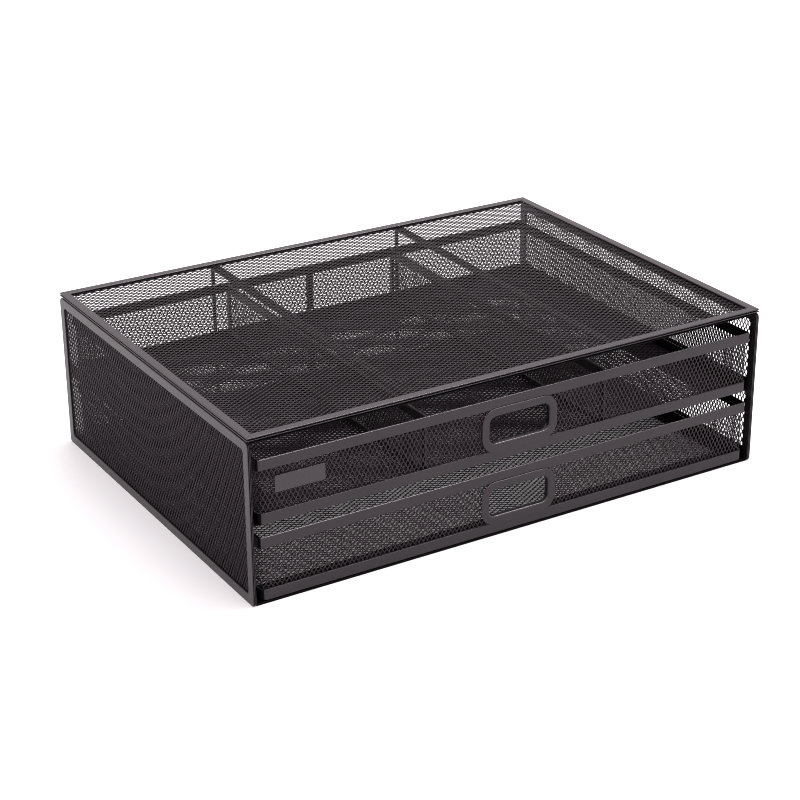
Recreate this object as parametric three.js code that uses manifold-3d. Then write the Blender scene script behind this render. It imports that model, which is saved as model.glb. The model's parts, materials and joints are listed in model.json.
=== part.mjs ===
// Two-drawer mesh desk organizer: a black steel housing with a mesh deck on top and two mesh drawers below.
// Millimetres, +Z up. X runs along the width, -Y is the front the drawers open towards.
// Origin: middle of the footprint, on the surface the organizer stands on.

import * as THREE from 'three';
import { mergeVertices } from 'three/addons/utils/BufferGeometryUtils.js';
import Module from 'manifold-3d';

// ---- Driving dimensions -------------------------------------------------------------------------

// Overall size of the closed organizer.
const WIDTH = 460;
const DEPTH = 334;
const HEIGHT = 134;

// Space left between pieces that are welded or folded together.
const GAP = 0.3;

// Expanded steel sheet, which fills the deck, the sides, the drawers and the dividers.
const SHEET = 0.8;

// Flat facets in each quarter turn, and the smallest inner corner of a window.
const CORNER_SEGMENTS = 5;
const MIN_WINDOW_CORNER = 0.5;

// Deck: a folded rim of angle section around the top sheet.
const DECK_RIM_WIDTH = 7;
const DECK_RIM_HEIGHT = 3.6;
const DECK_RIM_PLATE = 1;
const DECK_CORNER = 1.5;

// Side panels: an edging strip with rounded corners around a sheet.
const SIDE_THICKNESS = 2.6;
const SIDE_STRIP = 7.5;
const SIDE_TOP_CORNER = 4;
const SIDE_BOTTOM_CORNER = 3;
const SIDE_WINDOW_CORNER = 3;

// Rails that tie the two side panels together, front and rear, top and bottom. The top pair are thin bars.
// The bottom pair are angles: a low lip along the outside and a thin flat foot that reaches inwards.
const RAIL_DEPTH = 3;
const TOP_RAIL_HEIGHT = 1;
const BOTTOM_RAIL_HEIGHT = 1.9;
const BOTTOM_RAIL_FOOT = 26;
const BOTTOM_RAIL_THICKNESS = 0.7;
const RAIL_INSET = 1;

// Flat cross bars under the deck sheet, and the rear posts below their ends.
const CROSS_BAR_WIDTH = 9;
const CROSS_BAR_HEIGHT = 1.6;
const CROSS_BAR_OFFSET = 91.5;
const POST_WIDTH = 3;

// Angle runners that carry the drawers along the side panels. The upper pair is wider, and a flat shelf of
// the same width runs between them at the rear.
const RUNNER_SHELF = { upper: 34, lower: 12 };
const RUNNER_FLANGE = 9.5;
const RUNNER_THICKNESS = 1.2;

// Drawers: two folded strips, one at the top and one at the bottom, with sheet walls between them. The base
// strip and the walls turn the corners in a wider round than the rim.
const DRAWER_WIDTH = 446;
const DRAWER_DEPTH = 327.5;
const DRAWER_HEIGHT = 51;
const DRAWER_SETBACK = 0.9;
const DRAWER_RIM_CORNER = 2.5;
const DRAWER_BASE_CORNER = 5.5;
const STRIP_HEIGHT = 8.5;
const STRIP_THICKNESS = 2;
const WALL_INSET = 1;
const FLOOR_LIFT = 1.2;
const LOWER_DRAWER_BASE = BOTTOM_RAIL_HEIGHT + 2 * GAP;
const UPPER_DRAWER_BASE = 63.7;
const SEAM_WIDTH = 7;
const SEAM_THICKNESS = 0.4;

// Finger pull in the middle of each drawer front: a flat ring with a collar through the wall sheet.
const PULL_WIDTH = 68;
const PULL_HEIGHT = 36;
const PULL_RING = 7;
const PULL_CORNER = 12.5;
const PULL_FLANGE = 0.5;
const PULL_COLLAR_WALL = 1;
const PULL_COLLAR_DEPTH = 4.5;

// Blank plate on the left of the upper drawer's front.
const LABEL_WIDTH = 41;
const LABEL_HEIGHT = 13;
const LABEL_THICKNESS = 0.8;
const LABEL_FROM_DRAWER_END = 14;
const LABEL_BELOW_RIM = 6.5;
const LABEL_CORNER = 1;

// Dividers of the upper drawer.
const DIVIDER_OFFSET = 81.5;
const DIVIDER_THICKNESS = 2.4;
const DIVIDER_TOP_STRIP = 8;
const DIVIDER_EDGE_STRIP = 5;
const DIVIDER_CORNER = 1;

// ---- Derived sizes ------------------------------------------------------------------------------

const HALF_WIDTH = WIDTH / 2;
const HALF_DEPTH = DEPTH / 2;
const DECK_UNDERSIDE = HEIGHT - DECK_RIM_HEIGHT;
const SIDE_HEIGHT = DECK_UNDERSIDE - GAP;
const SIDE_INNER_X = HALF_WIDTH - SIDE_THICKNESS;
const RAIL_OUTER_Y = HALF_DEPTH - RAIL_INSET;
const RAIL_INNER_Y = RAIL_OUTER_Y - RAIL_DEPTH;
const DECK_SHEET_TOP = HEIGHT - DECK_RIM_PLATE - GAP;
const DRAWER_FRONT_Y = -HALF_DEPTH + DRAWER_SETBACK;
const DRAWER_CENTRE_Y = DRAWER_FRONT_Y + DRAWER_DEPTH / 2;
const PULL_OPENING_WIDTH = PULL_WIDTH - 2 * PULL_RING;
const PULL_OPENING_HEIGHT = PULL_HEIGHT - 2 * PULL_RING;
const PULL_OPENING_CORNER = PULL_CORNER - PULL_RING;

// ---- Shape helpers ------------------------------------------------------------------------------

const wasm = await Module();
wasm.setup();

function toSolid(geometry) {
  const plain = new THREE.BufferGeometry();
  const whole = geometry.index ? geometry.toNonIndexed() : geometry;
  plain.setAttribute('position', whole.getAttribute('position'));
  const merged = mergeVertices(plain, 1e-5);
  const mesh = new wasm.Mesh({
    numProp: 3,
    vertProperties: new Float32Array(merged.getAttribute('position').array),
    triVerts: new Uint32Array(merged.index.array),
  });
  return new wasm.Manifold(mesh);
}

function toGeometry(solid) {
  const mesh = solid.getMesh();
  const geometry = new THREE.BufferGeometry();
  geometry.setAttribute('position', new THREE.BufferAttribute(new Float32Array(mesh.vertProperties), 3));
  geometry.setIndex(new THREE.BufferAttribute(new Uint32Array(mesh.triVerts), 1));
  const flat = geometry.toNonIndexed();
  flat.computeVertexNormals();
  return flat;
}

function box(x, y, z) {
  const geometry = new THREE.BoxGeometry(x[1] - x[0], y[1] - y[0], z[1] - z[0]);
  return geometry.translate((x[0] + x[1]) / 2, (y[0] + y[1]) / 2, (z[0] + z[1]) / 2);
}

// Adds a rounded rectangle, centred on (cx, cy), to a shape or path. Its lower corners may have a radius
// of their own.
function traceRoundedRect(path, width, height, radius, cx = 0, cy = 0, lowerRadius = radius) {
  const left = cx - width / 2;
  const right = cx + width / 2;
  const bottom = cy - height / 2;
  const top = cy + height / 2;
  path.moveTo(left + lowerRadius, bottom);
  path.lineTo(right - lowerRadius, bottom);
  path.absarc(right - lowerRadius, bottom + lowerRadius, lowerRadius, -Math.PI / 2, 0);
  path.lineTo(right, top - radius);
  path.absarc(right - radius, top - radius, radius, 0, Math.PI / 2);
  path.lineTo(left + radius, top);
  path.absarc(left + radius, top - radius, radius, Math.PI / 2, Math.PI);
  path.lineTo(left, bottom + lowerRadius);
  path.absarc(left + lowerRadius, bottom + lowerRadius, lowerRadius, Math.PI, 1.5 * Math.PI);
  return path;
}

function roundedRect(width, height, radius, cx, cy, lowerRadius) {
  return traceRoundedRect(new THREE.Shape(), width, height, radius, cx, cy, lowerRadius);
}

function roundedWindow(width, height, radius, cx, cy) {
  return traceRoundedRect(new THREE.Path(), width, height, radius, cx, cy);
}

// A rounded rectangle with a rounded window in the middle, its edges as wide as stated.
function frameShape(width, height, radius, edge, cx = 0, cy = 0) {
  const shape = roundedRect(width, height, radius, cx, cy);
  const windowRadius = Math.max(radius - edge, MIN_WINDOW_CORNER);
  shape.holes.push(roundedWindow(width - 2 * edge, height - 2 * edge, windowRadius, cx, cy));
  return shape;
}

function extrude(shape, depth) {
  return new THREE.ExtrudeGeometry(shape, { depth, bevelEnabled: false, curveSegments: CORNER_SEGMENTS });
}

// Extrudes a plan outline (x, y) upwards between two heights.
function extrudeUp(shape, z) {
  return extrude(shape, z[1] - z[0]).translate(0, 0, z[0]);
}

// Extrudes a front-view outline (x, z) along Y.
function extrudeAlongY(shape, y) {
  return extrude(shape, y[1] - y[0]).rotateX(Math.PI / 2).translate(0, y[1], 0);
}

// Extrudes a side-view outline (y, z) along X.
function extrudeAlongX(shape, x) {
  const turn = new THREE.Matrix4().makeBasis(
    new THREE.Vector3(0, 1, 0),
    new THREE.Vector3(0, 0, 1),
    new THREE.Vector3(1, 0, 0),
  );
  return extrude(shape, x[1] - x[0]).applyMatrix4(turn).translate(x[0], 0, 0);
}

// ---- Materials ----------------------------------------------------------------------------------

function powderCoat() {
  return new THREE.MeshStandardMaterial({ color: 0x454244, roughness: 0.5, metalness: 0.0 });
}

function coatedSheet() {
  return new THREE.MeshStandardMaterial({ color: 0x2f2d2f, roughness: 0.6, metalness: 0.0 });
}

function runnerCoat() {
  return new THREE.MeshStandardMaterial({ color: 0x1d1c1d, roughness: 0.55, metalness: 0.0 });
}

function labelCoat() {
  return new THREE.MeshStandardMaterial({ color: 0x4c494a, roughness: 0.4, metalness: 0.0 });
}

const organizer = new THREE.Group();
organizer.name = 'mesh_desk_organizer';

function add(name, geometry, material) {
  const mesh = new THREE.Mesh(geometry, material);
  mesh.name = name;
  organizer.add(mesh);
}

// ---- Housing ------------------------------------------------------------------------------------

// The rim is an angle: a flat top plate with an edge folded down all round.
function addDeckRim() {
  const edge = toSolid(extrudeUp(
    frameShape(WIDTH, DEPTH, DECK_CORNER, DECK_RIM_PLATE),
    [DECK_UNDERSIDE, HEIGHT],
  ));
  const plate = toSolid(extrudeUp(
    frameShape(WIDTH, DEPTH, DECK_CORNER, DECK_RIM_WIDTH),
    [HEIGHT - DECK_RIM_PLATE, HEIGHT],
  ));
  add('deck_rim', toGeometry(edge.add(plate)), powderCoat());
}

function addDeckSheet() {
  const inset = DECK_RIM_PLATE + GAP;
  const x = HALF_WIDTH - inset;
  const y = HALF_DEPTH - inset;
  add('deck_mesh', box([-x, x], [-y, y], [DECK_SHEET_TOP - SHEET, DECK_SHEET_TOP]), coatedSheet());
}

// Cross bars run front to back between the top rails, just under the deck sheet.
function addCrossBars() {
  const top = DECK_SHEET_TOP - SHEET - GAP;
  const y = RAIL_INNER_Y - GAP;
  for (const [side, centre] of [['left', -CROSS_BAR_OFFSET], ['right', CROSS_BAR_OFFSET]]) {
    const x = [centre - CROSS_BAR_WIDTH / 2, centre + CROSS_BAR_WIDTH / 2];
    add(`deck_cross_bar_${side}`, box(x, [-y, y], [top - CROSS_BAR_HEIGHT, top]), powderCoat());
  }
}

// An angle section: a lip along the outside and a foot on the ground. end is -1 in front and 1 at the rear.
function bottomRailShape(end) {
  const points = [
    [RAIL_OUTER_Y, 0],
    [RAIL_OUTER_Y, BOTTOM_RAIL_HEIGHT],
    [RAIL_INNER_Y, BOTTOM_RAIL_HEIGHT],
    [RAIL_INNER_Y, BOTTOM_RAIL_THICKNESS],
    [RAIL_OUTER_Y - BOTTOM_RAIL_FOOT, BOTTOM_RAIL_THICKNESS],
    [RAIL_OUTER_Y - BOTTOM_RAIL_FOOT, 0],
  ];
  return new THREE.Shape(points.map(([y, z]) => new THREE.Vector2(end * y, z)));
}

function addRails() {
  const x = [-SIDE_INNER_X + GAP, SIDE_INNER_X - GAP];
  const topZ = [SIDE_HEIGHT - TOP_RAIL_HEIGHT, SIDE_HEIGHT];
  for (const [place, end] of [['front', -1], ['rear', 1]]) {
    const y = [end * RAIL_OUTER_Y, end * RAIL_INNER_Y].sort((a, b) => a - b);
    add(`top_${place}_rail`, box(x, y, topZ), powderCoat());
    add(`bottom_${place}_rail`, extrudeAlongX(bottomRailShape(end), x), powderCoat());
  }
}

// Two thin posts stand at the rear, between the top and bottom rails.
function addRearPosts() {
  const z = [BOTTOM_RAIL_HEIGHT + GAP, SIDE_HEIGHT - TOP_RAIL_HEIGHT - GAP];
  for (const [side, centre] of [['left', -CROSS_BAR_OFFSET], ['right', CROSS_BAR_OFFSET]]) {
    const x = [centre - POST_WIDTH / 2, centre + POST_WIDTH / 2];
    add(`rear_post_${side}`, box(x, [RAIL_INNER_Y, RAIL_OUTER_Y], z), powderCoat());
  }
}

function addSidePanels() {
  const middleZ = SIDE_HEIGHT / 2;
  const windowWidth = DEPTH - 2 * SIDE_STRIP;
  const windowHeight = SIDE_HEIGHT - 2 * SIDE_STRIP;
  const strip = roundedRect(DEPTH, SIDE_HEIGHT, SIDE_TOP_CORNER, 0, middleZ, SIDE_BOTTOM_CORNER);
  strip.holes.push(roundedWindow(windowWidth, windowHeight, SIDE_WINDOW_CORNER, 0, middleZ));
  const sheet = roundedRect(windowWidth - 2 * GAP, windowHeight - 2 * GAP, SIDE_WINDOW_CORNER, 0, middleZ);
  for (const [side, start] of [['left', -HALF_WIDTH], ['right', SIDE_INNER_X]]) {
    const middle = start + SIDE_THICKNESS / 2;
    add(`side_frame_${side}`, extrudeAlongX(strip, [start, start + SIDE_THICKNESS]), powderCoat());
    add(`side_mesh_${side}`, extrudeAlongX(sheet, [middle - SHEET / 2, middle + SHEET / 2]), coatedSheet());
  }
}

// An angle section: a shelf under the drawer and a flange up the side panel.
function runnerShape(side, shelfTop, shelf) {
  const outer = SIDE_INNER_X - GAP;
  const points = [
    [outer - shelf, shelfTop - RUNNER_THICKNESS],
    [outer, shelfTop - RUNNER_THICKNESS],
    [outer, shelfTop + RUNNER_FLANGE],
    [outer - RUNNER_THICKNESS, shelfTop + RUNNER_FLANGE],
    [outer - RUNNER_THICKNESS, shelfTop],
    [outer - shelf, shelfTop],
  ];
  return new THREE.Shape(points.map(([x, z]) => new THREE.Vector2(side * x, z)));
}

function addRunners() {
  const y = [-RAIL_INNER_Y + GAP, RAIL_INNER_Y - GAP];
  for (const [level, base] of [['upper', UPPER_DRAWER_BASE], ['lower', LOWER_DRAWER_BASE]]) {
    for (const [name, side] of [['left', -1], ['right', 1]]) {
      const section = runnerShape(side, base - GAP, RUNNER_SHELF[level]);
      add(`${level}_runner_${name}`, extrudeAlongY(section, y), runnerCoat());
    }
  }
}

// The shelf under the rear of the upper drawer, level with the runners' own shelves.
function addRearShelf() {
  const halfWidth = SIDE_INNER_X - GAP - RUNNER_SHELF.upper - GAP;
  const rear = RAIL_INNER_Y - GAP;
  const top = UPPER_DRAWER_BASE - GAP;
  const x = [-halfWidth, halfWidth];
  const y = [rear - RUNNER_SHELF.upper, rear];
  add('upper_rear_shelf', box(x, y, [top - RUNNER_THICKNESS, top]), runnerCoat());
}

// ---- Drawers ------------------------------------------------------------------------------------

// A strip folded round the whole drawer, seen in plan; inset moves both faces inwards.
function drawerBand(thickness, corner, inset = 0) {
  const width = DRAWER_WIDTH - 2 * inset;
  const depth = DRAWER_DEPTH - 2 * inset;
  return frameShape(width, depth, corner - inset, thickness, 0, DRAWER_CENTRE_Y);
}

function addDrawerStrips(drawer, base) {
  const rim = drawerBand(STRIP_THICKNESS, DRAWER_RIM_CORNER);
  const foot = drawerBand(STRIP_THICKNESS, DRAWER_BASE_CORNER);
  const top = base + DRAWER_HEIGHT;
  add(`${drawer}_rim`, extrudeUp(rim, [top - STRIP_HEIGHT, top]), powderCoat());
  add(`${drawer}_base_strip`, extrudeUp(foot, [base, base + STRIP_HEIGHT]), powderCoat());
}

// The four walls are one length of sheet, open where the finger pull's collar passes.
function addDrawerWalls(drawer, base) {
  const walls = toSolid(extrudeUp(
    drawerBand(SHEET, DRAWER_BASE_CORNER, WALL_INSET),
    [base + STRIP_HEIGHT + GAP, base + DRAWER_HEIGHT - STRIP_HEIGHT - GAP],
  ));
  const clearance = 2 * (PULL_COLLAR_WALL + GAP);
  const hole = toSolid(extrudeAlongY(
    roundedRect(
      PULL_OPENING_WIDTH + clearance,
      PULL_OPENING_HEIGHT + clearance,
      PULL_OPENING_CORNER,
      0,
      base + DRAWER_HEIGHT / 2,
    ),
    [DRAWER_FRONT_Y, DRAWER_FRONT_Y + 2 * STRIP_THICKNESS],
  ));
  add(`${drawer}_wall_mesh`, toGeometry(walls.subtract(hole)), coatedSheet());
}

function addDrawerFloor(drawer, base) {
  const inset = STRIP_THICKNESS + GAP;
  const outline = roundedRect(
    DRAWER_WIDTH - 2 * inset,
    DRAWER_DEPTH - 2 * inset,
    DRAWER_BASE_CORNER - inset,
    0,
    DRAWER_CENTRE_Y,
  );
  const z = base + FLOOR_LIFT;
  add(`${drawer}_floor_mesh`, extrudeUp(outline, [z, z + SHEET]), coatedSheet());
}

// A narrow strip covers the joint of the wall sheet in the middle of the rear wall.
function addDrawerSeam(drawer, base) {
  const wallOuterY = DRAWER_FRONT_Y + DRAWER_DEPTH - WALL_INSET;
  const y = [wallOuterY + GAP, wallOuterY + GAP + SEAM_THICKNESS];
  const z = [base + STRIP_HEIGHT + GAP, base + DRAWER_HEIGHT - STRIP_HEIGHT - GAP];
  add(`${drawer}_rear_seam`, box([-SEAM_WIDTH / 2, SEAM_WIDTH / 2], y, z), powderCoat());
}

function addFingerPull(drawer, base) {
  const middle = base + DRAWER_HEIGHT / 2;
  const back = DRAWER_FRONT_Y - GAP;
  const ring = toSolid(extrudeAlongY(
    frameShape(PULL_WIDTH, PULL_HEIGHT, PULL_CORNER, PULL_RING, 0, middle),
    [back - PULL_FLANGE, back],
  ));
  const collar = toSolid(extrudeAlongY(
    frameShape(
      PULL_OPENING_WIDTH + 2 * PULL_COLLAR_WALL,
      PULL_OPENING_HEIGHT + 2 * PULL_COLLAR_WALL,
      PULL_OPENING_CORNER + PULL_COLLAR_WALL,
      PULL_COLLAR_WALL,
      0,
      middle,
    ),
    [back - PULL_FLANGE, back - PULL_FLANGE + PULL_COLLAR_DEPTH],
  ));
  add(`${drawer}_finger_pull`, toGeometry(ring.add(collar)), powderCoat());
}

function addDrawer(drawer, base) {
  addDrawerStrips(drawer, base);
  addDrawerWalls(drawer, base);
  addDrawerFloor(drawer, base);
  addDrawerSeam(drawer, base);
  addFingerPull(drawer, base);
}

function addLabelPlate() {
  const centreX = -DRAWER_WIDTH / 2 + LABEL_FROM_DRAWER_END + LABEL_WIDTH / 2;
  const centreZ = UPPER_DRAWER_BASE + DRAWER_HEIGHT - STRIP_HEIGHT - LABEL_BELOW_RIM - LABEL_HEIGHT / 2;
  const back = DRAWER_FRONT_Y + WALL_INSET - GAP;
  const outline = roundedRect(LABEL_WIDTH, LABEL_HEIGHT, LABEL_CORNER, centreX, centreZ);
  add('upper_drawer_label_plate', extrudeAlongY(outline, [back - LABEL_THICKNESS, back]), labelCoat());
}

// Each divider is a sheet in a strip frame whose top strip is the widest.
function addDividers() {
  const inset = STRIP_THICKNESS + PULL_FLANGE + GAP;
  const front = DRAWER_FRONT_Y + inset;
  const rear = DRAWER_FRONT_Y + DRAWER_DEPTH - inset;
  const bottom = UPPER_DRAWER_BASE + FLOOR_LIFT + SHEET + GAP;
  const top = UPPER_DRAWER_BASE + DRAWER_HEIGHT - GAP;
  const windowBottom = bottom + DIVIDER_EDGE_STRIP;
  const windowTop = top - DIVIDER_TOP_STRIP;
  const windowDepth = rear - front - 2 * DIVIDER_EDGE_STRIP;
  const windowHeight = windowTop - windowBottom;
  const centreY = (front + rear) / 2;
  const windowZ = (windowBottom + windowTop) / 2;

  const frame = roundedRect(rear - front, top - bottom, DIVIDER_CORNER, centreY, (top + bottom) / 2);
  frame.holes.push(roundedWindow(windowDepth, windowHeight, DIVIDER_CORNER, centreY, windowZ));
  const sheet = roundedRect(windowDepth - 2 * GAP, windowHeight - 2 * GAP, DIVIDER_CORNER, centreY, windowZ);
  for (const [side, x] of [['left', -DIVIDER_OFFSET], ['right', DIVIDER_OFFSET]]) {
    const frameX = [x - DIVIDER_THICKNESS / 2, x + DIVIDER_THICKNESS / 2];
    add(`divider_frame_${side}`, extrudeAlongX(frame, frameX), powderCoat());
    add(`divider_mesh_${side}`, extrudeAlongX(sheet, [x - SHEET / 2, x + SHEET / 2]), coatedSheet());
  }
}

// ---- Assembly -----------------------------------------------------------------------------------

addDeckRim();
addDeckSheet();
addCrossBars();
addRails();
addRearPosts();
addSidePanels();
addRunners();
addRearShelf();
addDrawer('upper_drawer', UPPER_DRAWER_BASE);
addDrawer('lower_drawer', LOWER_DRAWER_BASE);
addLabelPlate();
addDividers();

export default organizer;
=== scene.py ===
"""Looks for the two-drawer mesh desk organizer: expanded steel sheet, folded strips and powder coat."""

import json
import math

import bmesh
import bpy
import numpy as np
from mathutils import Matrix, Vector


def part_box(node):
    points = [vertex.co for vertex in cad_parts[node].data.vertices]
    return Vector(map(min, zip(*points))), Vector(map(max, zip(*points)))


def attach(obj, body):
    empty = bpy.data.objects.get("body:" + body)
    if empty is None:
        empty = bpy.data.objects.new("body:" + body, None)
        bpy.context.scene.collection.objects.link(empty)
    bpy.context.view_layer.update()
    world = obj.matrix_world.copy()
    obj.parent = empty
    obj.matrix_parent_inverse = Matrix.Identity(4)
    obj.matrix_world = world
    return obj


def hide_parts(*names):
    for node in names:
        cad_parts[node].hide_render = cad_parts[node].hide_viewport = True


MM = 0.001

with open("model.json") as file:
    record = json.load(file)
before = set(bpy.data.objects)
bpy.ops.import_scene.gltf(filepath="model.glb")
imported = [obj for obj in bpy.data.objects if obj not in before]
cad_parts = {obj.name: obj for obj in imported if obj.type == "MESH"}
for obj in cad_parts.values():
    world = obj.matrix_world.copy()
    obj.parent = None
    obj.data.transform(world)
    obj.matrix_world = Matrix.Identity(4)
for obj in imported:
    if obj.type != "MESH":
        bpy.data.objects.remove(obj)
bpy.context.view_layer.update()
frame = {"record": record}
body_of_node = {
    node: body
    for body, members in frame["record"]["behaviour"]["bodies"].items()
    for node in members
}


# ---- Camera ----------------------------------------------------------------------------------

# The view that fits the photograph: angles in degrees, distance and target in metres, lens and sensor in mm.
CAMERA_AZIMUTH = -31.07
CAMERA_ELEVATION = 24.07
CAMERA_ROLL = -0.457
CAMERA_DISTANCE = 1.6388
CAMERA_TARGET = Vector((-0.0282, -0.0381, 0.067))
CAMERA_LENS = 92.05
SENSOR_WIDTH = 36.0


def add_camera():
    azimuth = math.radians(CAMERA_AZIMUTH)
    elevation = math.radians(CAMERA_ELEVATION)
    roll = math.radians(CAMERA_ROLL)
    back = Vector((
        math.sin(azimuth) * math.cos(elevation),
        -math.cos(azimuth) * math.cos(elevation),
        math.sin(elevation),
    ))
    level = Vector((math.cos(azimuth), math.sin(azimuth), 0))
    upright = back.cross(level)
    right = math.cos(roll) * level + math.sin(roll) * upright
    up = -math.sin(roll) * level + math.cos(roll) * upright
    data = bpy.data.cameras.new("camera")
    data.sensor_width = SENSOR_WIDTH
    data.lens = CAMERA_LENS
    camera = bpy.data.objects.new("camera", data)
    bpy.context.scene.collection.objects.link(camera)
    turn = Matrix((right, up, back)).transposed().to_4x4()
    camera.matrix_world = Matrix.Translation(CAMERA_TARGET + back * CAMERA_DISTANCE) @ turn
    bpy.context.scene.camera = camera


# ---- Materials -------------------------------------------------------------------------------


# The black coat mirrors its surroundings slightly warm and purple, the thin sheets a little more so.
STRIP_TINT = (1.0, 0.89, 0.96, 1.0)
SHEET_TINT = (1.0, 0.80, 0.91, 1.0)

# Share of red, green and blue in the pigment, whose shade is given with each coat.
STRIP_HUE = (1.0, 0.85, 0.95)
SHEET_HUE = (1.0, 0.62, 0.86)


class Surface:
    """A Principled material whose nodes work in object space, with short ways to add patterns to it."""

    def __init__(self, name, roughness, specular=0.5, tint=STRIP_TINT):
        self.material = bpy.data.materials.new(name)
        self.material.use_nodes = True
        self.nodes = self.material.node_tree.nodes
        self.links = self.material.node_tree.links
        self.shader = self.nodes["Principled BSDF"]
        self.shader.inputs["Roughness"].default_value = roughness
        self.shader.inputs["Specular IOR Level"].default_value = specular
        self.shader.inputs["Specular Tint"].default_value = tint
        self.place = self.nodes.new("ShaderNodeTexCoord").outputs["Object"]

    def noise(self, scale, detail=2.0, roughness=0.5):
        texture = self.nodes.new("ShaderNodeTexNoise")
        texture.inputs["Scale"].default_value = scale
        texture.inputs["Detail"].default_value = detail
        texture.inputs["Roughness"].default_value = roughness
        self.links.new(self.place, texture.inputs["Vector"])
        return texture.outputs["Fac"]

    def spread(self, value, low, high, to_low, to_high):
        """Maps value from low..high to to_low..to_high."""
        node = self.nodes.new("ShaderNodeMapRange")
        for name, number in (
            ("From Min", low),
            ("From Max", high),
            ("To Min", to_low),
            ("To Max", to_high),
        ):
            node.inputs[name].default_value = number
        self.links.new(value, node.inputs["Value"])
        return node.outputs["Result"]

    def blend_colours(self, factor, first, second):
        node = self.nodes.new("ShaderNodeMix")
        node.data_type = "RGBA"
        node.inputs["A"].default_value = (*first, 1)
        node.inputs["B"].default_value = (*second, 1)
        self.links.new(factor, node.inputs["Factor"])
        return node.outputs["Result"]

    def colour(self, socket):
        self.links.new(socket, self.shader.inputs["Base Color"])

    def roughness(self, socket):
        self.links.new(socket, self.shader.inputs["Roughness"])

    def bump(self, heights, distance):
        """heights is a list of (socket, strength), one bump on top of the other."""
        normal = None
        for socket, strength in heights:
            node = self.nodes.new("ShaderNodeBump")
            node.inputs["Strength"].default_value = strength
            node.inputs["Distance"].default_value = distance
            self.links.new(socket, node.inputs["Height"])
            if normal is not None:
                self.links.new(normal, node.inputs["Normal"])
            normal = node.outputs["Normal"]
        self.links.new(normal, self.shader.inputs["Normal"])


# The coat's patterns: how fine they are, in cycles a metre, how far they change the colour and the gloss, and
# over which part of the noise's range, and how deep the relief is.
CLOUD_SCALE = 35
PEEL_SCALE = 900
GRIT_SCALE = 4200
CLOUD_LIFTS = (0.85, 1.25)
CLOUD_RANGE = (0.35, 0.65)
GRIT_RANGE = (0.3, 0.7)
GLOSS_SPREAD = 0.07
PEEL_STRENGTH = 0.25
GRIT_STRENGTH = 0.12
RELIEF_DEPTH = 0.2 * MM


def powder_coat(name, shade, roughness, specular, tint=STRIP_TINT, hue=STRIP_HUE, relief=1.0):
    """Baked powder coat: orange peel, a fine grit in the gloss, and faint cloudiness in the colour."""
    surface = Surface(name, roughness, specular, tint)
    cloud = surface.noise(CLOUD_SCALE, detail=3)
    peel = surface.noise(PEEL_SCALE, detail=2, roughness=0.4)
    grit = surface.noise(GRIT_SCALE, detail=1)
    dark, light = ([shade * lift * part for part in hue] for lift in CLOUD_LIFTS)
    surface.colour(surface.blend_colours(surface.spread(cloud, *CLOUD_RANGE, 0, 1), dark, light))
    gloss = surface.spread(grit, *GRIT_RANGE, roughness - GLOSS_SPREAD, roughness + GLOSS_SPREAD)
    surface.roughness(gloss)
    surface.bump([(peel, PEEL_STRENGTH * relief), (grit, GRIT_STRENGTH * relief)], RELIEF_DEPTH)
    return surface.material


STRIP_COAT = powder_coat("strip_coat", 0.0060, 0.36, 0.5)
# Painted highlight: a lighter, glossier copy of the strip coat, for the rounded upper edges that face the
# lights.
HIGHLIGHT_COAT = powder_coat("highlighted_coat", 0.0070, 0.25, 0.95, relief=0.25)
WALL_COAT = powder_coat("wall_coat", 0.0045, 0.34, 0.42, SHEET_TINT)
DECK_COAT = powder_coat("deck_coat", 0.0044, 0.36, 0.18, SHEET_TINT)
SHEET_COAT = powder_coat("sheet_coat", 0.0070, 0.40, 0.115, SHEET_TINT, SHEET_HUE)
# Painted shade: a darker, duller copy of the coat for the rails, runners and shelf, which sit in shade, and
# for the sideways faces of the drawers' strips.
PAINTED_SHADE_COAT = powder_coat("painted_shade_coat", 0.0020, 0.5, 0.045)
LABEL_COAT = powder_coat("label_coat", 0.0090, 0.30, 0.66)


# ---- Shared sizes, in mm ---------------------------------------------------------------------

SIDES = ("left", "right")
DRAWERS = ("upper_drawer", "lower_drawer")

# Folded strips round the drawers, and how widely the rim and the base turn their corners.
STRIP_THICKNESS = 2.0
RIM_CORNER = 2.5
BASE_CORNER = 5.5

# How far a sheet runs on under the strip that holds its edge.
UNDER_STRIP = 1.5

# Drawer walls stand this far inside the strips' outer faces, and their middle this far inside their own face.
WALL_INSET = 1.0
WALL_MIDDLE = 0.4

# Corners of the floor sheets, inside the base strips.
FLOOR_CORNER = 3.2

# The finger pull: its ring's width and outer corner, the thickness of its flange, the rounds of its opening
# and of its outer edge, and the thickness of its collar.
PULL_RING = 7.0
PULL_CORNER = 12.5
PULL_FLANGE = 0.5
PULL_ROLL = 1.6
PULL_OUTER_ROLL = 0.4
PULL_COLLAR = 0.8

# Clearance that the wall sheet keeps round the pull's collar, and how deep the front wall reaches.
COLLAR_CLEARANCE = 1.2
FRONT_WALL_DEPTH = 3.0


# ---- Mesh helpers ----------------------------------------------------------------------------

# A length in mm too small to matter, and the least radius of a corner, which keeps its points apart.
HAIR = 1e-6
LEAST_RADIUS = 0.01

# Right-handed axes (u, v, level) for pieces drawn in plan, from the front and from the side.
PLAN = ((1, 0, 0), (0, 1, 0), (0, 0, 1))
FRONT = ((1, 0, 0), (0, 0, 1), (0, -1, 0))
SIDE = ((0, 1, 0), (0, 0, 1), (1, 0, 0))

# A face belongs to a drawer's side where its normal leans out by SIDEWAYS_LEAN and, seen from above, points
# sideways by SIDEWAYS_TURN; such faces get painted shade.
SIDEWAYS_LEAN = 0.1
SIDEWAYS_TURN = 0.6

# The rise of a face's normal between which it belongs to a rounded upper edge, which gets the painted
# highlight.
HIGHLIGHT_SLOPE = (0.3, 0.97)


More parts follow.
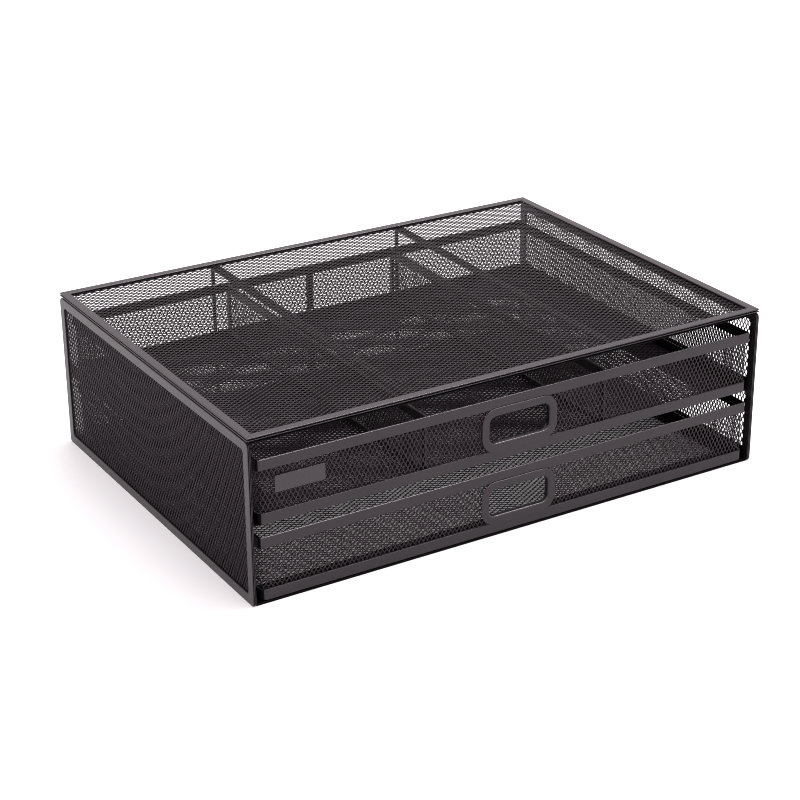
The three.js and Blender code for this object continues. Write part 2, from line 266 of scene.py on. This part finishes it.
def mesh_from_quads(name, points, quads):
    """points in metres, quads as an array of four indices a row."""
    points = np.ascontiguousarray(points, np.float32)
    quads = np.ascontiguousarray(quads, np.int32)
    mesh = bpy.data.meshes.new(name)
    mesh.vertices.add(len(points))
    mesh.vertices.foreach_set("co", points.ravel())
    mesh.loops.add(quads.size)
    mesh.loops.foreach_set("vertex_index", quads.ravel())
    mesh.polygons.add(len(quads))
    mesh.polygons.foreach_set("loop_start", np.arange(0, quads.size, 4, dtype=np.int32))
    mesh.update(calc_edges=True)
    return mesh


def add_piece(name, mesh, material, node, highlighted=False):
    """Links a mesh as a piece that stands for a CAD node and rides on the node's body."""
    mesh.materials.append(material)
    if highlighted:
        paint_edge_highlights(mesh)
    mesh.polygons.foreach_set("use_smooth", [True] * len(mesh.polygons))
    piece = bpy.data.objects.new(name, mesh)
    bpy.context.scene.collection.objects.link(piece)
    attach(piece, body_of_node[node])
    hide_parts(node)
    return piece


def paint_edge_highlights(mesh):
    """Paints a highlight on the rounded upper edges: a lighter, glossier copy of the strip's coat on the
    faces that rise towards the lights.
    """
    mesh.materials.append(HIGHLIGHT_COAT)
    for face in mesh.polygons:
        face.material_index = int(HIGHLIGHT_SLOPE[0] < face.normal.z < HIGHLIGHT_SLOPE[1])


def shaded_sides(mesh):
    """Paints shade on the sides of a drawer's strips, giving their sideways faces the dark, dull
    painted-shade coat.
    """
    mesh.materials.append(PAINTED_SHADE_COAT)
    shaded = len(mesh.materials) - 1
    for face in mesh.polygons:
        sideways = abs(face.normal.x)
        if sideways > SIDEWAYS_LEAN and sideways > SIDEWAYS_TURN * face.normal.xy.length:
            face.material_index = shaded


def weight_normals(piece):
    """Keeps the flats flat where they meet a rounded edge."""
    piece.modifiers.new("flat_faces", "WEIGHTED_NORMAL").keep_sharp = True


def rounded_loop(rect, radii, steps):
    """Points of a rounded rectangle, anticlockwise. radii: lower and upper corners."""
    u0, v0, u1, v1 = rect
    lower, upper = radii
    corners = (
        (u1 - lower, v0 + lower, lower, -90),
        (u1 - upper, v1 - upper, upper, 0),
        (u0 + upper, v1 - upper, upper, 90),
        (u0 + lower, v0 + lower, lower, 180),
    )
    points = []
    for cu, cv, radius, start in corners:
        for angle in np.radians(np.linspace(start, start + 90, steps + 1)):
            points.append((cu + radius * math.cos(angle), cv + radius * math.sin(angle)))
    return np.array(points)


def arc_corner(centre, radius, start, steps=3):
    """Quarter turn in a section, as (across, level) points."""
    angles = np.radians(np.linspace(start, start + 90, steps + 1))
    return [(centre[0] + radius * math.cos(a), centre[1] + radius * math.sin(a)) for a in angles]


def strip_section(width, low, high, round_low, round_high):
    """Section of a folded strip as (inset from the outer edge, level), from the outer face up and round."""
    outline = []
    outline += arc_corner((round_low, low + round_low), round_low, 180, steps=2)[::-1]
    outline += arc_corner((round_high, high - round_high), round_high, 90)[::-1]
    outline += arc_corner((width - round_high, high - round_high), round_high, 0)[::-1]
    outline += arc_corner((width - round_low, low + round_low), round_low, -90, steps=2)[::-1]
    # The foot of the outer face is the first corner's point nearest the edge.
    start = outline.index(min(outline[:3], key=lambda p: p[0]))
    return outline[start:] + outline[:start]


def ring(outer, inner, outer_radii, inner_radii, section, width, axes, steps=6):
    """Sweeps a closed section round a frame. Inset 0 is the outer edge and inset width the window's edge."""
    loops = []
    for inset, level in section:
        share = inset / width
        rect = [a + (b - a) * share for a, b in zip(outer, inner)]
        radii = [max(a + (b - a) * share, LEAST_RADIUS) for a, b in zip(outer_radii, inner_radii)]
        plane = rounded_loop(rect, radii, steps)
        loops.append(np.column_stack([plane, np.full(len(plane), level)]))
    points = np.concatenate(loops) * MM @ np.array(axes, float)
    around, along = len(section), len(loops[0])
    quads = []
    for s in range(around):
        t = (s + 1) % around
        for p in range(along):
            q = (p + 1) % along
            quads.append((s * along + p, s * along + q, t * along + q, t * along + p))
    return points, quads


def prism(outline, axes, span, bevel):
    """Extrudes an (u, v) outline in mm between two levels and rounds its edges."""
    work = bmesh.new()
    axes = np.array(axes, float)
    rings = [
        [work.verts.new(np.array((u, v, level)) * MM @ axes) for u, v in outline] for level in span
    ]
    work.faces.new(rings[0][::-1])
    work.faces.new(rings[1])
    count = len(outline)
    for i in range(count):
        j = (i + 1) % count
        work.faces.new((rings[0][i], rings[0][j], rings[1][j], rings[1][i]))
    bmesh.ops.bevel(
        work,
        geom=work.edges[:],
        offset=bevel * MM,
        segments=2,
        profile=0.5,
        affect="EDGES",
        clamp_overlap=True,
    )
    bmesh.ops.recalc_face_normals(work, faces=work.faces[:])
    mesh = bpy.data.meshes.new("prism")
    work.to_mesh(mesh)
    work.free()
    return mesh


def box_mm(node):
    low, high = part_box(node)
    return [v / MM for v in low], [v / MM for v in high]


def middle(low, high):
    return [(a + b) / 2 for a, b in zip(low, high)]


def rect_outline(u0, v0, u1, v1):
    return [(u0, v0), (u1, v0), (u1, v1), (u0, v1)]


# ---- Expanded steel sheet --------------------------------------------------------------------

# Half the least length of the flats at the two sides of an opening, in mm.
LEAST_FLAT = 0.2


class Weave:
    """Expanded sheet, in mm: the openings' pitch, the strands between them and the bonds they meet in.

    tilt is how far the flats of each opening are bent out of the sheet.
    """

    def __init__(self, long_pitch, short_pitch, strand=0.72, bond=1.0, thickness=0.5, tilt=0.0):
        self.long_pitch = long_pitch
        self.short_pitch = short_pitch
        self.strand = strand
        self.bond = bond
        self.thickness = thickness
        self.tilt = tilt
        run = long_pitch / 2 - bond
        rise = short_pitch / 2
        slope = rise / run
        self.tip = long_pitch / 2 - bond / 2 - strand / 2 * math.hypot(run, rise) / rise
        self.flat_v = rise - strand
        self.flat_u = max(self.tip - self.flat_v / slope, LEAST_FLAT)

    def with_short_pitch(self, short_pitch):
        return Weave(self.long_pitch, short_pitch, self.strand, self.bond, self.thickness, self.tilt)


# Long and short pitch of the sheet that lies flat and of the sheet that stands, in mm. The two floors are
# bent opposite ways, so the upper one looks closed from the front, and so are the two side panels.
LYING_PITCH = (7.05, 4.08)
STANDING_PITCH = (7.1, 3.75)
DECK_WEAVE = Weave(*LYING_PITCH, tilt=0.03)
FLOOR_WEAVES = {
    "upper_drawer": Weave(*LYING_PITCH, tilt=-0.22),
    "lower_drawer": Weave(*LYING_PITCH, tilt=0.16),
}
SIDE_WEAVES = {
    "left": Weave(*STANDING_PITCH, tilt=-0.13),
    "right": Weave(*STANDING_PITCH, tilt=0.16),
}
WALL_WEAVE = Weave(*STANDING_PITCH, strand=0.55, thickness=0.45, tilt=0.08)


def opening_numbers(columns, rows):
    """The openings of a sheet, numbered on a grid of half pitches. Every other place has none, marked -1."""
    i, j = np.meshgrid(np.arange(columns), np.arange(rows), indexing="ij")
    is_opening = (i + j) % 2 == 0
    numbers = np.full((columns, rows), -1)
    numbers[is_opening] = np.arange(is_opening.sum())
    return numbers


def strands_and_bonds(numbers):
    """The sheet's faces between openings, each as four (opening, corner) pairs.

    numbers is the grid of opening_numbers. Corners count anticlockwise from an opening's right tip.
    """
    here, north_east = numbers[:-1, :-1], numbers[1:, 1:]
    real = here >= 0
    a, b = here[real], north_east[real]
    faces = [((a, 1), (a, 0), (b, 4), (b, 3))]
    here, north_west = numbers[1:, :-1], numbers[:-1, 1:]
    real = here >= 0
    a, b = here[real], north_west[real]
    faces.append(((a, 3), (a, 2), (b, 0), (b, 5)))
    here, above = numbers[1:-1, :-2], numbers[1:-1, 2:]
    left, right = numbers[:-2, 1:-1], numbers[2:, 1:-1]
    real = here >= 0
    a, b, c, d = here[real], above[real], left[real], right[real]
    faces.append(((a, 2), (a, 1), (d, 3), (b, 5)))
    faces.append(((a, 2), (b, 5), (b, 4), (c, 0)))
    return faces


def expanded_sheet(weave, length, height):
    """A net of strands centred on the origin, long pitch along u, as points (u, v, level) and quads."""
    columns = int(length // (weave.long_pitch / 2)) + 2
    rows = int(height // (weave.short_pitch / 2)) + 2
    numbers = opening_numbers(columns, rows)
    i, j = np.nonzero(numbers >= 0)
    centre_u = (i - (columns - 1) / 2) * weave.long_pitch / 2
    centre_v = (j - (rows - 1) / 2) * weave.short_pitch / 2

    # The six corners of an opening. Its upper flat is bent up and its lower flat down, as in the real sheet.
    corners = np.array([
        (weave.tip, 0, 0),
        (weave.flat_u, weave.flat_v, weave.tilt),
        (-weave.flat_u, weave.flat_v, weave.tilt),
        (-weave.tip, 0, 0),
        (-weave.flat_u, -weave.flat_v, -weave.tilt),
        (weave.flat_u, -weave.flat_v, -weave.tilt),
    ])
    count = len(corners)
    centres = np.column_stack([centre_u, centre_v, np.zeros(len(centre_u))])
    middle_face = (centres[:, None, :] + corners[None]).reshape(-1, 3)
    half = np.array((0, 0, weave.thickness / 2))
    points = np.concatenate([middle_face + half, middle_face - half])
    lower = len(middle_face)

    openings = numbers[numbers >= 0]
    quads = []
    for k in range(count):
        a, b = openings * count + k, openings * count + (k + 1) % count
        quads.append(np.column_stack([a, b, b + lower, a + lower]))
    for face in strands_and_bonds(numbers):
        top = np.column_stack([opening * count + k for opening, k in face])
        quads += [top, top[:, ::-1] + lower]
    return points, np.concatenate(quads)


def keep_quads(points, quads, keep):
    """Drops the quads with a corner that fails the test keep, and the points that only they used."""
    quads = quads[keep(points[quads]).all(axis=1)]
    used = np.unique(quads)
    renumber = np.full(len(points), -1)
    renumber[used] = np.arange(len(used))
    return points[used], renumber[quads]


def inside_rect(half_u, half_v, corner=0.0):
    """A test for points inside a rectangle round the origin, its corners rounded."""

    def test(p):
        beyond_u = np.maximum(abs(p[..., 0]) - (half_u - corner), 0)
        beyond_v = np.maximum(abs(p[..., 1]) - (half_v - corner), 0)
        return np.hypot(beyond_u, beyond_v) <= corner + HAIR

    return test


def flat_net(node, weave, centre, size, axes, coat, pieces=1, corner=0.0):
    """Fills a rectangle with expanded sheet, in as many side by side pieces as asked."""
    points, quads = expanded_sheet(weave, *size)
    points, quads = keep_quads(points, quads, inside_rect(size[0] / 2, size[1] / 2, corner))
    middles = points[quads][:, :, 0].mean(axis=1)
    bounds = np.linspace(-size[0], size[0], pieces + 1) / 2
    bounds[0], bounds[-1] = -np.inf, np.inf
    for number in range(pieces):
        part = quads[(middles >= bounds[number]) & (middles < bounds[number + 1])]
        used, renumbered = np.unique(part, return_inverse=True)
        place = (points[used] @ np.array(axes, float) + np.array(centre)) * MM
        name = f"{node}_net" if pieces == 1 else f"{node}_net_{number + 1}"
        add_piece(name, mesh_from_quads(name, place, renumbered.reshape(part.shape)), coat, node)


# Axes (long pitch, short pitch, face) for sheet that lies flat and sheet that stands along the side panels.
LYING = PLAN
STANDING_SIDE = ((0, 0, 1), (0, -1, 0), (1, 0, 0))

# Steps in each corner of a drawer's walls, and openings in the length of sheet beyond what goes round.
WALL_CORNER_STEPS = 8
SPARE_ROWS = 4


def add_deck_net():
    low, high = box_mm("deck_mesh")
    size = (high[0] - low[0], high[1] - low[1])
    flat_net("deck_mesh", DECK_WEAVE, middle(low, high), size, LYING, DECK_COAT, pieces=2)


def add_floor_nets():
    for drawer, weave in FLOOR_WEAVES.items():
        node = f"{drawer}_floor_mesh"
        low, high = box_mm(node)
        size = (high[0] - low[0], high[1] - low[1])
        flat_net(node, weave, middle(low, high), size, LYING, SHEET_COAT, pieces=2, corner=FLOOR_CORNER)


def add_standing_nets():
    """Side panels and dividers. Each sheet runs on a little way under its strips."""
    for side in SIDES:
        for node, weave, coat in (
            (f"side_mesh_{side}", SIDE_WEAVES[side], SHEET_COAT),
            (f"divider_mesh_{side}", WALL_WEAVE, WALL_COAT),
        ):
            low, high = box_mm(node)
            size = (high[2] - low[2] + 2 * UNDER_STRIP, high[1] - low[1] + 2 * UNDER_STRIP)
            flat_net(node, weave, middle(low, high), size, STANDING_SIDE, coat)


def loop_reach(loop):
    """A loop with its first point again at the end, and how far along it each point is."""
    closed = np.vstack([loop, loop[:1]])
    steps = np.hypot(*np.diff(closed, axis=0).T)
    return closed, np.concatenate([[0], np.cumsum(steps)])


def dense_loop(loop):
    """Drops points that coincide, so that every step along the loop has a length."""
    steps = np.hypot(*(np.roll(loop, -1, axis=0) - loop).T)
    return loop[steps > HAIR]


def rear_middle(loop):
    """Distance along the loop of the middle of its rear side."""
    closed, reach = loop_reach(loop)
    on_rear = np.isclose(closed[:, 1], closed[:, 1].max())
    return reach[on_rear].mean()


def along_loop(loop, distance):
    """Points and outward directions at distances along a closed anticlockwise loop."""
    closed, reach = loop_reach(loop)
    steps = np.diff(reach)
    distance = distance % reach[-1]
    place = np.column_stack([np.interp(distance, reach, closed[:, k]) for k in (0, 1)])
    segment = np.clip(np.searchsorted(reach, distance, side="right") - 1, 0, len(steps) - 1)
    tangent = (closed[segment + 1] - closed[segment]) / steps[segment, None]
    return place, np.column_stack([tangent[:, 1], -tangent[:, 0]])


def clear_of_pull(drawer):
    """A test for points outside the room that the finger pull and its collar take in the front wall."""
    low, high = box_mm(f"{drawer}_finger_pull")
    half_u = (high[0] - low[0]) / 2 - PULL_RING + COLLAR_CLEARANCE
    half_v = (high[2] - low[2]) / 2 - PULL_RING + COLLAR_CLEARANCE
    centre_v = (high[2] + low[2]) / 2
    wall_front = box_mm(f"{drawer}_wall_mesh")[0][1]

    def test(p):
        in_front = p[..., 1] < wall_front + FRONT_WALL_DEPTH
        inside = (abs(p[..., 0]) < half_u) & (abs(p[..., 2] - centre_v) < half_v)
        return ~(in_front & inside)

    return test


def add_wall_nets():
    """Each drawer's walls are one length of sheet, wrapped round with its joint at the rear."""
    for drawer in DRAWERS:
        node = f"{drawer}_wall_mesh"
        low, high = box_mm(node)
        rect = (low[0] + WALL_MIDDLE, low[1] + WALL_MIDDLE, high[0] - WALL_MIDDLE, high[1] - WALL_MIDDLE)
        corner = BASE_CORNER - WALL_INSET - WALL_MIDDLE
        loop = dense_loop(rounded_loop(rect, (corner, corner), WALL_CORNER_STEPS))
        around = loop_reach(loop)[1][-1]
        height = high[2] - low[2] + 2 * UNDER_STRIP
        # A whole number of openings goes round, so that the two ends meet at the rear seam.
        openings = round(around / WALL_WEAVE.short_pitch)
        weave = WALL_WEAVE.with_short_pitch(around / openings)
        points, quads = expanded_sheet(weave, height, around + SPARE_ROWS * weave.short_pitch)
        points, quads = keep_quads(points, quads, inside_rect(height / 2, around / 2))
        # v runs clockwise seen from above, so that (up, v, outward) is right-handed.
        place, outward = along_loop(loop, rear_middle(loop) - points[:, 1])
        flat = place + outward * points[:, 2:3]
        world = np.column_stack([flat, points[:, 0] + middle(low, high)[2]])
        world, quads = keep_quads(world, quads, clear_of_pull(drawer))
        add_piece(f"{node}_net", mesh_from_quads(node, world * MM, quads), WALL_COAT, node)


# ---- Housing ---------------------------------------------------------------------------------

DECK_RIM_WIDTH = 7.0

# Section of the deck rim, in from its outer edge and down from its top: the plate's thickness, the lip at the
# window, the upright below the plate, and the hem that stands out from the upright.
RIM_PLATE = 1.0
RIM_LIP = 1.5
RIM_UPRIGHT = (1.6, 2.2)
RIM_HEM = (1.8, 2.6)
RIM_HEM_FACE = 0.1
RIM_HEM_ROUND = (0.25, 0.2)

# The rounded nose at the rim's outer edge as (inset, depth), from its underside up to the flat top, and the
# edge at the window as (distance from the window, depth), from the flat top round the lip to the underside.
RIM_NOSE_DEPTH = 0.9
RIM_NOSE = ((0.4, RIM_NOSE_DEPTH), (0.05, 0.6), (0.1, 0.25), (0.4, 0.05), (0.9, 0))
RIM_WINDOW_EDGE = ((0.8, 0), (0.3, 0.12), (0, 0.5), (0, RIM_LIP), (0.5, RIM_LIP), (0.7, RIM_PLATE))

# The open joint between two mitred lengths, measured along the rim on either side of the corner.
MITRE_GAP = 0.12


def rim_section(top, bottom):
    """The deck rim's section as (inset, level): a flat top with a lip, over a recess and a thin hem."""
    outer, inner = RIM_UPRIGHT
    hem_top, hem_bottom = (top - depth for depth in RIM_HEM)
    hem_in, hem_rise = RIM_HEM_ROUND
    return [
        (inner, bottom),
        (outer, bottom),
        (outer, hem_bottom),
        (RIM_HEM_FACE + hem_in, hem_bottom),
        (RIM_HEM_FACE, hem_bottom + hem_rise),
        (RIM_HEM_FACE, hem_top - hem_rise),
        (RIM_HEM_FACE + hem_in, hem_top),
        (outer, hem_top),
        (outer, top - RIM_NOSE_DEPTH),
        *((inset, top - depth) for inset, depth in RIM_NOSE),
        *((DECK_RIM_WIDTH - back, top - depth) for back, depth in RIM_WINDOW_EDGE),
        (inner, top - RIM_PLATE),
    ]


def mitred_frame(corners, section):
    """Four lengths of a section round a rectangle, cut at 45 degrees with a hair between them."""
    points, quads = [], []
    count = len(section)
    for side in range(4):
        a, b = np.array(corners[side]), np.array(corners[(side + 1) % 4])
        along = (b - a) / np.hypot(*(b - a))
        inward = np.array((-along[1], along[0]))
        base = len(points)
        for end, sign in ((a, 1), (b, -1)):
            for inset, level in section:
                spot = end + inward * inset + along * sign * (inset + MITRE_GAP)
                points.append((*spot, level))
        for s in range(count):
            t = (s + 1) % count
            quads.append((base + s, base + count + s, base + count + t, base + t))
    return np.array(points), quads


def close_ends(mesh):
    work = bmesh.new()
    work.from_mesh(mesh)
    bmesh.ops.holes_fill(work, edges=[e for e in work.edges if e.is_boundary], sides=0)
    bmesh.ops.recalc_face_normals(work, faces=work.faces[:])
    work.to_mesh(mesh)
    work.free()


def add_deck_rim():
    low, high = box_mm("deck_rim")
    corners = rect_outline(low[0], low[1], high[0], high[1])
    points, quads = mitred_frame(corners, rim_section(high[2], low[2]))
    mesh = mesh_from_quads("deck_rim", points * MM, quads)
    close_ends(mesh)
    # The rim's rounded upper edges get the painted highlight.
    weight_normals(add_piece("deck_rim_strips", mesh, STRIP_COAT, "deck_rim", highlighted=True))


# Side panels' strips: their width, their outer corners at the bottom and the top, the window's corners, the
# round of their edges, and the groove near each face.
SIDE_STRIP = 7.5
SIDE_CORNERS = (3.0, 4.0)
WINDOW_CORNER = 3.0
SIDE_EDGE_ROUND = 0.4
GROOVE_PLACE = 0.45
GROOVE_WIDTH = 0.55
GROOVE_DEPTH = 1.5


def side_section(low, high):
    """A folded strip with a rounded edge and, near each face, a narrow groove where the fold closes."""
    plain = strip_section(SIDE_STRIP, low, high, SIDE_EDGE_ROUND, SIDE_EDGE_ROUND)
    grooves = []
    for start in (low + GROOVE_PLACE, high - GROOVE_PLACE - GROOVE_WIDTH):
        end = start + GROOVE_WIDTH
        grooves += [(0.0, start), (GROOVE_DEPTH, start), (GROOVE_DEPTH, end), (0.0, end)]
    return plain[:1] + grooves + plain[1:]


def add_side_frames():
    for side in SIDES:
        node = f"side_frame_{side}"
        low, high = box_mm(node)
        section = side_section(low[0], high[0])
        outer = (low[1], low[2], high[1], high[2])
        inner = (low[1] + SIDE_STRIP, low[2] + SIDE_STRIP, high[1] - SIDE_STRIP, high[2] - SIDE_STRIP)
        window_corners = (WINDOW_CORNER, WINDOW_CORNER)
        points, quads = ring(outer, inner, SIDE_CORNERS, window_corners, section, SIDE_STRIP, SIDE)
        mesh = mesh_from_quads(node, points, quads)
        weight_normals(add_piece(f"{node}_strip", mesh, STRIP_COAT, node))


# Rails: the height of the top rear one, the thickness of the bottom ones' lip and foot, and the edges' round.
REAR_RAIL_HEIGHT = 0.5
BOTTOM_RAIL_LIP = 3.0
BOTTOM_RAIL_FOOT = 0.7
RAIL_ROUND = 0.2


def add_top_rail(place):
    """A thin bar."""
    node = f"top_{place}_rail"
    low, high = box_mm(node)
    bottom = low[2] if place == "front" else high[2] - REAR_RAIL_HEIGHT
    outline = rect_outline(low[1], bottom, high[1], high[2])
    mesh = prism(outline, SIDE, (low[0], high[0]), RAIL_ROUND)
    # The dark coat is painted shade on the rail.
    weight_normals(add_piece(f"{node}_bar", mesh, PAINTED_SHADE_COAT, node))


def angle_outline(inner, outer, low, high, upright, foot):
    """An angle's section: an upright at the outer edge, of thickness upright, on a foot of thickness foot."""
    return [
        (inner, low),
        (outer, low),
        (outer, high),
        (outer - upright, high),
        (outer - upright, low + foot),
        (inner, low + foot),
    ]


def mirrored(outline, sign):
    """The outline as it is, or with sign -1 turned over to the other side of the middle."""
    return [(sign * u, v) for u, v in outline][::sign]


def add_bottom_rail(place, sign):
    """An angle, with a low lip on a thin flat foot that reaches inwards."""
    node = f"bottom_{place}_rail"
    low, high = box_mm(node)
    inner, outer = sorted((abs(low[1]), abs(high[1])))
    outline = angle_outline(inner, outer, low[2], high[2], BOTTOM_RAIL_LIP, BOTTOM_RAIL_FOOT)
    mesh = prism(mirrored(outline, sign), SIDE, (low[0], high[0]), RAIL_ROUND)
    # The dark coat is painted shade on the rail.
    weight_normals(add_piece(f"{node}_angle", mesh, PAINTED_SHADE_COAT, node))


def add_rails():
    for place, sign in (("front", -1), ("rear", 1)):
        add_top_rail(place)
        add_bottom_rail(place, sign)


POST_ROUND = 0.9
CROSS_BAR_ROUND = 0.4


def add_posts():
    for side in SIDES:
        node = f"rear_post_{side}"
        low, high = box_mm(node)
        outline = rect_outline(low[0], low[1], high[0], high[1])
        mesh = prism(outline, PLAN, (low[2], high[2]), POST_ROUND)
        weight_normals(add_piece(f"{node}_bar", mesh, STRIP_COAT, node))


def add_cross_bars():
    for side in SIDES:
        node = f"deck_cross_bar_{side}"
        low, high = box_mm(node)
        outline = rect_outline(low[0], low[2], high[0], high[2])
        mesh = prism(outline, FRONT, (-high[1], -low[1]), CROSS_BAR_ROUND)
        weight_normals(add_piece(f"{node}_bar", mesh, STRIP_COAT, node))


RUNNER_THICKNESS = 1.2
RUNNER_ROUND = 0.35


def add_runners():
    for level in ("upper", "lower"):
        for side, sign in (("left", -1), ("right", 1)):
            node = f"{level}_runner_{side}"
            low, high = box_mm(node)
            inner, outer = sorted((abs(low[0]), abs(high[0])))
            thickness = RUNNER_THICKNESS
            outline = angle_outline(inner, outer, low[2], high[2], thickness, thickness)
            mesh = prism(mirrored(outline, sign), FRONT, (-high[1], -low[1]), RUNNER_ROUND)
            # The dark coat is painted shade on the runner.
            weight_normals(add_piece(f"{node}_angle", mesh, PAINTED_SHADE_COAT, node))


def add_rear_shelf():
    node = "upper_rear_shelf"
    low, high = box_mm(node)
    outline = rect_outline(low[0], low[1], high[0], high[1])
    mesh = prism(outline, PLAN, (low[2], high[2]), RUNNER_ROUND)
    # The dark coat is painted shade on the shelf.
    weight_normals(add_piece(f"{node}_plate", mesh, PAINTED_SHADE_COAT, node))


# ---- Drawers ---------------------------------------------------------------------------------

# Each folded strip's corner and the rounds of its lower and upper edges.
DRAWER_STRIPS = {
    "rim": (RIM_CORNER, 0.45, 0.95),
    "base_strip": (BASE_CORNER, 0.6, 0.6),
}
PULL_STEPS = 12


def add_drawer_strips():
    width = STRIP_THICKNESS
    for drawer in DRAWERS:
        for part, (corner, round_low, round_high) in DRAWER_STRIPS.items():
            node = f"{drawer}_{part}"
            low, high = box_mm(node)
            section = strip_section(width, low[2], high[2], round_low, round_high)
            outer = (low[0], low[1], high[0], high[1])
            inner = (low[0] + width, low[1] + width, high[0] - width, high[1] - width)
            corners = (corner, corner)
            inner_corners = (corner - width, corner - width)
            points, quads = ring(outer, inner, corners, inner_corners, section, width, PLAN)
            mesh = mesh_from_quads(node, points, quads)
            # The rims' rounded upper edges get the painted highlight.
            piece = add_piece(f"{node}_fold", mesh, STRIP_COAT, node, highlighted=(part == "rim"))
            # The strips' sideways faces get painted shade.
            shaded_sides(mesh)
            weight_normals(piece)


def pull_section(front, back):
    """The finger pull's section as (inset, level): a flat face with a rolled outer edge and a collar."""
    seat = front - PULL_FLANGE
    return [
        (0.0, seat),
        *arc_corner((PULL_OUTER_ROLL, front - PULL_OUTER_ROLL), PULL_OUTER_ROLL, 90, steps=2)[::-1],
        *arc_corner((PULL_RING - PULL_ROLL, front - PULL_ROLL), PULL_ROLL, 0, steps=4)[::-1],
        (PULL_RING, back),
        (PULL_RING - PULL_COLLAR, back),
        (PULL_RING - PULL_COLLAR, seat),
    ]


def add_finger_pulls():
    """A pressed ring whose collar turns back through the sheet."""
    width = PULL_RING
    for drawer in DRAWERS:
        node = f"{drawer}_finger_pull"
        low, high = box_mm(node)
        section = pull_section(-low[1], -high[1])
        outer = (low[0], low[2], high[0], high[2])
        inner = (low[0] + width, low[2] + width, high[0] - width, high[2] - width)
        corners = (PULL_CORNER, PULL_CORNER)
        inner_corners = (PULL_CORNER - width, PULL_CORNER - width)
        points, quads = ring(outer, inner, corners, inner_corners, section, width, FRONT, PULL_STEPS)
        mesh = mesh_from_quads(node, points, quads)
        # The pull's rounded upper edges get the painted highlight.
        weight_normals(add_piece(f"{node}_ring", mesh, STRIP_COAT, node, highlighted=True))


SEAM_ROUND = 0.12
LABEL_CORNER = 1.0
LABEL_ROUND = 0.2


def add_rear_seams():
    for drawer in DRAWERS:
        node = f"{drawer}_rear_seam"
        low, high = box_mm(node)
        outline = rect_outline(low[0], low[1], high[0], high[1])
        mesh = prism(outline, PLAN, (low[2], high[2]), SEAM_ROUND)
        weight_normals(add_piece(f"{node}_strip", mesh, STRIP_COAT, node))


def add_label_plate():
    node = "upper_drawer_label_plate"
    low, high = box_mm(node)
    rect = (low[0], low[2], high[0], high[2])
    outline = [tuple(p) for p in rounded_loop(rect, (LABEL_CORNER, LABEL_CORNER), steps=4)]
    mesh = prism(outline, FRONT, (-high[1], -low[1]), LABEL_ROUND)
    weight_normals(add_piece(f"{node}_blank", mesh, LABEL_COAT, node))


DIVIDER_TOP_STRIP = 8.0
DIVIDER_EDGE_STRIP = 5.0
DIVIDER_CORNER = 1.0
DIVIDER_ROUND = 0.7


def add_divider_frames():
    for side in SIDES:
        node = f"divider_frame_{side}"
        low, high = box_mm(node)
        outer = (low[1], low[2], high[1], high[2])
        edge = DIVIDER_EDGE_STRIP
        inner = (low[1] + edge, low[2] + edge, high[1] - edge, high[2] - DIVIDER_TOP_STRIP)
        section = strip_section(edge, low[0], high[0], DIVIDER_ROUND, DIVIDER_ROUND)
        corners = (DIVIDER_CORNER, DIVIDER_CORNER)
        points, quads = ring(outer, inner, corners, corners, section, edge, SIDE, steps=3)
        mesh = mesh_from_quads(node, points, quads)
        weight_normals(add_piece(f"{node}_strip", mesh, STRIP_COAT, node))


# ---- Studio ----------------------------------------------------------------------------------

# The floor's reach from the middle, in metres, and how white it is.
FLOOR_REACH = 6.0
FLOOR_SHADE = 0.83

# Each soft light as (name, azimuth, elevation, spread, strength), its angles in degrees.
SOFT_LIGHTS = (
    ("overhead_light", -30, 78, 45, 1.3),
    ("right_light", 78, 64, 10, 1.1),
    ("rear_light", 148, 44, 24, 0.28),
)

# White walls all round, a shade warmer and more purple than the lights.
SURROUNDINGS = (1, 0.925, 0.96, 1)
SURROUNDINGS_STRENGTH = 1.15

# A narrow pixel filter, in pixels, keeps the fine sheet crisp.
FILTER_WIDTH = 1.0


def add_floor():
    reach = FLOOR_REACH
    corners = [(-reach, -reach, 0), (reach, -reach, 0), (reach, reach, 0), (-reach, reach, 0)]
    mesh = bpy.data.meshes.new("floor")
    mesh.from_pydata(corners, [], [(0, 1, 2, 3)])
    surface = Surface("floor_paper", roughness=0.9, specular=0.0)
    surface.shader.inputs["Base Color"].default_value = (FLOOR_SHADE, FLOOR_SHADE, FLOOR_SHADE, 1)
    mesh.materials.append(surface.material)
    floor = bpy.data.objects.new("floor", mesh)
    bpy.context.scene.collection.objects.link(floor)


def add_soft_light(name, azimuth, elevation, spread, strength):
    """Light from a compass direction: azimuth 0 is the front, positive towards the right."""
    data = bpy.data.lights.new(name, "SUN")
    data.energy = strength
    data.angle = math.radians(spread)
    lamp = bpy.data.objects.new(name, data)
    lamp.rotation_mode = "QUATERNION"
    a, e = math.radians(azimuth), math.radians(elevation)
    towards_lamp = Vector((math.sin(a) * math.cos(e), -math.cos(a) * math.cos(e), math.sin(e)))
    lamp.rotation_quaternion = towards_lamp.to_track_quat("Z", "Y")
    bpy.context.scene.collection.objects.link(lamp)


def add_surroundings():
    world = bpy.data.worlds.new("studio")
    world.use_nodes = True
    background = world.node_tree.nodes["Background"]
    background.inputs["Color"].default_value = SURROUNDINGS
    background.inputs["Strength"].default_value = SURROUNDINGS_STRENGTH
    bpy.context.scene.world = world


def add_studio():
    add_floor()
    for light in SOFT_LIGHTS:
        add_soft_light(*light)
    add_surroundings()
    bpy.context.scene.view_settings.view_transform = "Standard"
    bpy.context.scene.cycles.filter_width = FILTER_WIDTH


# ---- Assembly --------------------------------------------------------------------------------

add_camera()
add_deck_rim()
add_deck_net()
add_rails()
add_posts()
add_cross_bars()
add_side_frames()
add_standing_nets()
add_runners()
add_rear_shelf()
add_drawer_strips()
add_wall_nets()
add_floor_nets()
add_rear_seams()
add_finger_pulls()
add_label_plate()
add_divider_frames()
add_studio()
